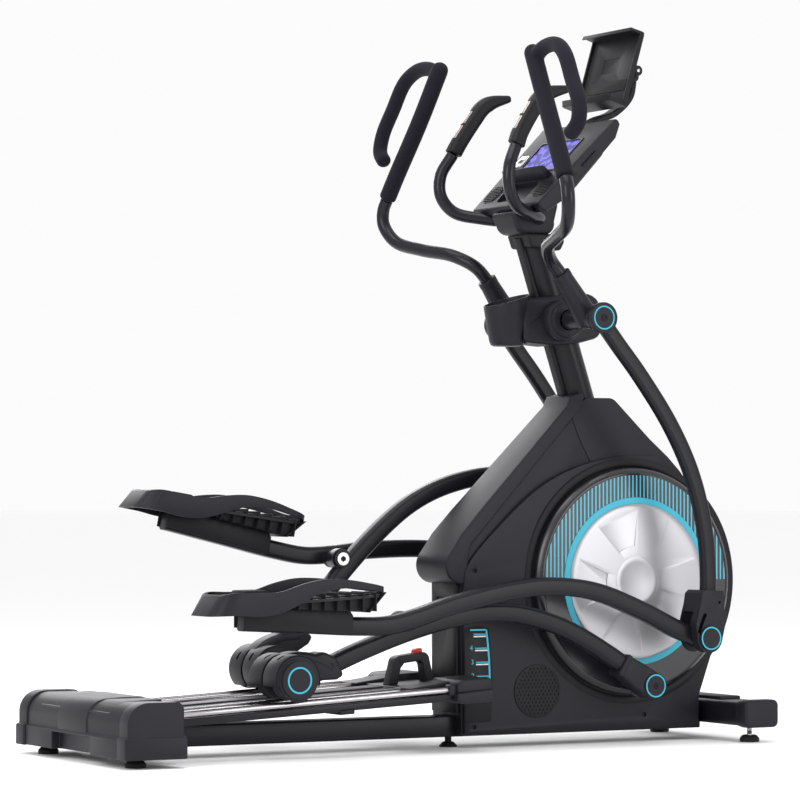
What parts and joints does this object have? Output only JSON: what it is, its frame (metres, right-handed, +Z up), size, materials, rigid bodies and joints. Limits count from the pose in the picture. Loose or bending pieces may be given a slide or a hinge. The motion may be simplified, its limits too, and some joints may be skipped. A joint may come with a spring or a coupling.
{
  "type": "elliptical trainer",
  "caption": "Front-drive elliptical trainer with swing arms, pedal links on rollers, a tilting rail bed, covered drive, console, tablet holder and levelling feet.",
  "frame": {"origin": "on the floor, under the middle of the bounding box", "axes": "+X forwards, the way the user faces, +Y to the user's left, +Z up"},
  "size_m": [1.772, 1.022, 1.7495],
  "materials": {
    "shell": "satin charcoal plastic",
    "dark_shell": "matt black plastic",
    "paint": "satin black powder coat",
    "tube": "semi-gloss black paint",
    "bolt": "black steel bolt with a cyan ring on its cap",
    "chrome": "polished chrome",
    "foam": "black foam",
    "rubber": "black rubber",
    "tyre": "grey-black polyurethane",
    "silver": "silver with a cyan ring",
    "steel": "turned steel",
    "iron": "dark cast iron",
    "screen": "blue display",
    "red": "red button",
    "pulse": "pulse sensor plates on black plastic"
  },
  "bodies": {
    "frame": {"main_frame": "paint", "rear_cover": "shell", "front_stabilizer": "shell", "rear_foot_right": "rubber", "rear_foot_left": "rubber", "front_foot_right": "rubber", "front_foot_left": "rubber", "middle_foot": "rubber", "housing_right": "shell", "housing_left": "shell", "spine_cover": "dark_shell", "grille_right": "dark_shell", "grille_left": "dark_shell", "level_scale": "dark_shell", "drive_bracket": "iron", "mast": "paint", "belt": "rubber", "brake": "iron", "pivot_shroud": "shell", "swing_axle": "steel", "console": "shell", "display": "screen", "tablet_arm": "dark_shell", "fixed_handlebar": "tube", "pulse_grip_right": "pulse", "pulse_grip_left": "pulse"},
    "cranks": {"crank_axle": "steel", "drive_pulley": "iron", "crank_disc_right": "silver", "crank_disc_left": "silver"},
    "flywheel_body": {"flywheel": "steel"},
    "rail_bed": {"rail_frame": "paint", "outer_rail_right": "chrome", "outer_rail_left": "chrome", "inner_rail_right": "chrome", "inner_rail_left": "chrome", "lift_handle": "shell"},
    "release": {"release_button": "red"},
    "start_button": {"start_key": "silver"},
    "tablet_tray": {"tablet_holder": "dark_shell"},
    "swing_right": {"swing_arm_right": "tube", "knee_cover_right": "shell", "handlebar_right": "tube", "foam_grip_right": "foam"},
    "knee_right": {"knee_bolt_right": "bolt"},
    "pedal_link_right": {"pedal_arm_right": "tube", "pedal_right": "shell"},
    "roller_link_right": {"roller_arm_right": "tube", "fender_right": "shell"},
    "wheels_right": {"rollers_right": "tyre"},
    "swing_left": {"swing_arm_left": "tube", "knee_cover_left": "shell", "handlebar_left": "tube", "foam_grip_left": "foam"},
    "knee_left": {"knee_bolt_left": "bolt"},
    "pedal_link_left": {"pedal_arm_left": "tube", "pedal_left": "shell"},
    "roller_link_left": {"roller_arm_left": "tube", "fender_left": "shell"},
    "wheels_left": {"rollers_left": "tyre"}
  },
  "joints": [
    {"name": "stride", "type": "hinge", "parent": "frame", "child": "swing_right", "pos_m": [0.388, 0, 1.029], "axis": [0, -1, 0], "range_deg": [-18.5, 18.5]},
    {"name": "stride_left", "type": "hinge", "parent": "frame", "child": "swing_left", "pos_m": [0.388, 0, 1.029], "axis": [0, -1, 0], "range_deg": [-19.5, 19.5]},
    {"name": "cranks_turn", "type": "hinge", "parent": "frame", "child": "cranks", "pos_m": [0.572, 0, 0.394], "axis": [0, -1, 0], "continuous": true},
    {"name": "flywheel_turn", "type": "hinge", "parent": "frame", "child": "flywheel_body", "pos_m": [0.262, 0, 0.3], "axis": [0, -1, 0], "continuous": true},
    {"name": "incline", "type": "hinge", "parent": "frame", "child": "rail_bed", "pos_m": [-0.827, 0, 0.104], "axis": [0, -1, 0], "range_deg": [0, 8.2]},
    {"name": "release_press", "type": "slide", "parent": "rail_bed", "child": "release", "axis": [0, 0, -1], "range_m": [0, 0.003], "stiffness_N_per_m": 400},
    {"name": "start_press", "type": "slide", "parent": "frame", "child": "start_button", "axis": [0.7071, 0, -0.7071], "range_m": [0, 0.0015], "stiffness_N_per_m": 600},
    {"name": "tablet_tilt", "type": "hinge", "parent": "frame", "child": "tablet_tray", "pos_m": [0.618, 0, 1.652], "axis": [0, -1, 0], "range_deg": [-8, 4]},
    {"name": "knee_right", "type": "hinge", "parent": "swing_right", "child": "knee_right", "pos_m": [0.676, 0, 0.259], "axis": [0, -1, 0], "range_deg": [-14, 14]},
    {"name": "pedal_lift_right", "type": "hinge", "parent": "knee_right", "child": "pedal_link_right", "pos_m": [0.726, 0, 0.259], "axis": [0, -1, 0], "range_deg": [-6, 0]},
    {"name": "heel_right", "type": "hinge", "parent": "pedal_link_right", "child": "roller_link_right", "pos_m": [-0.114, 0, 0.31], "axis": [0, -1, 0], "range_deg": [-7, 7]},
    {"name": "roll_right", "type": "hinge", "parent": "roller_link_right", "child": "wheels_right", "pos_m": [-0.42, 0, 0.184], "axis": [0, -1, 0], "continuous": true},
    {"name": "knee_left", "type": "hinge", "parent": "swing_left", "child": "knee_left", "pos_m": [0.65974, 0, 0.25311], "axis": [0, -1, 0], "range_deg": [-14, 14]},
    {"name": "pedal_lift_left", "type": "hinge", "parent": "knee_left", "child": "pedal_link_left", "pos_m": [0.70974, 0, 0.25311], "axis": [0, -1, 0], "range_deg": [-6, 0]},
    {"name": "heel_left", "type": "hinge", "parent": "pedal_link_left", "child": "roller_link_left", "pos_m": [-0.10681, 0, 0.45084], "axis": [0, -1, 0], "range_deg": [-7, 7]},
    {"name": "roll_left", "type": "hinge", "parent": "roller_link_left", "child": "wheels_left", "pos_m": [-0.31044, 0, 0.18998], "axis": [0, -1, 0], "continuous": true}
  ],
  "couplings": [
    {"joint": "stride_left", "follows": "stride", "ratio": -1},
    {"joint": "flywheel_turn", "follows": "cranks_turn", "ratio": 7.5},
    {"joint": "knee_right", "follows": "stride", "ratio": -0.69},
    {"joint": "pedal_lift_right", "follows": "incline", "ratio": -0.45},
    {"joint": "heel_right", "follows": "stride", "ratio": -0.31},
    {"joint": "roll_right", "follows": "stride", "ratio": -15.2},
    {"joint": "knee_left", "follows": "stride", "ratio": 0.69},
    {"joint": "pedal_lift_left", "follows": "incline", "ratio": -0.61},
    {"joint": "heel_left", "follows": "stride", "ratio": 0.31},
    {"joint": "roll_left", "follows": "stride", "ratio": 15.2}
  ]
}
